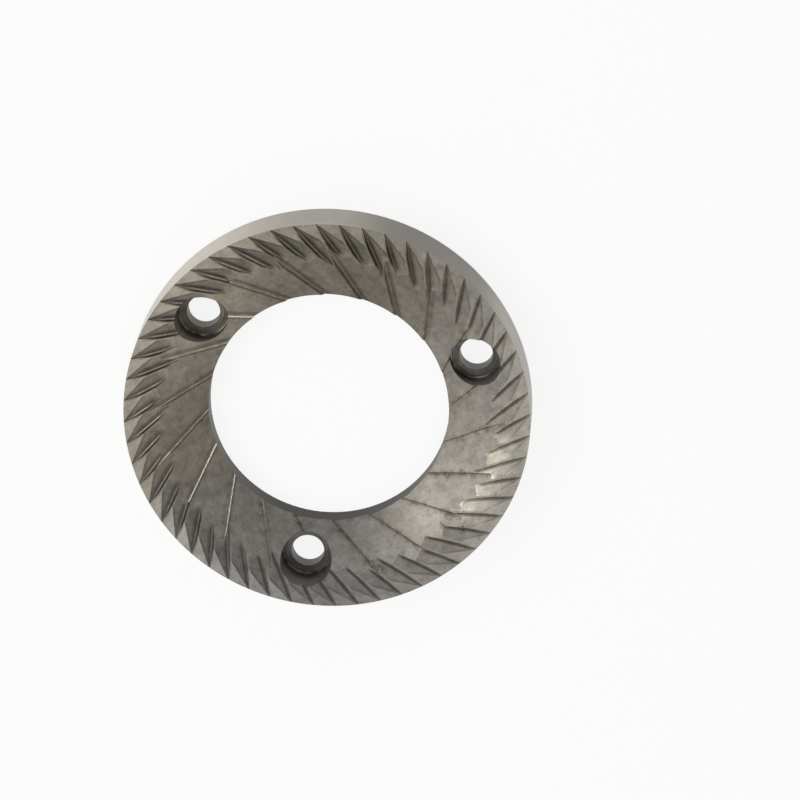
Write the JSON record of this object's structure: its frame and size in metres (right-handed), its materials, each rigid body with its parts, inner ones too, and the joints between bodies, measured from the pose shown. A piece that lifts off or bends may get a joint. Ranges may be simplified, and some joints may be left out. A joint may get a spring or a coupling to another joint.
{
  "type": "coffee grinder burr",
  "caption": "Flat ring burr for a coffee grinder, with fine sawtooth grooves at the rim, coarse teeth on a dished inner face and counterbored screw holes.",
  "frame": {"origin": "centre of the back face, on the ring's axis", "axes": "+Z along the ring's axis from the back face to the cutting face, +X through the first screw hole"},
  "size_m": [0.064, 0.064, 0.008],
  "materials": {
    "burr_steel": "satin hardened tool steel, cut face"
  },
  "bodies": {
    "root": {"burr": "burr_steel"}
  },
  "joints": []
}
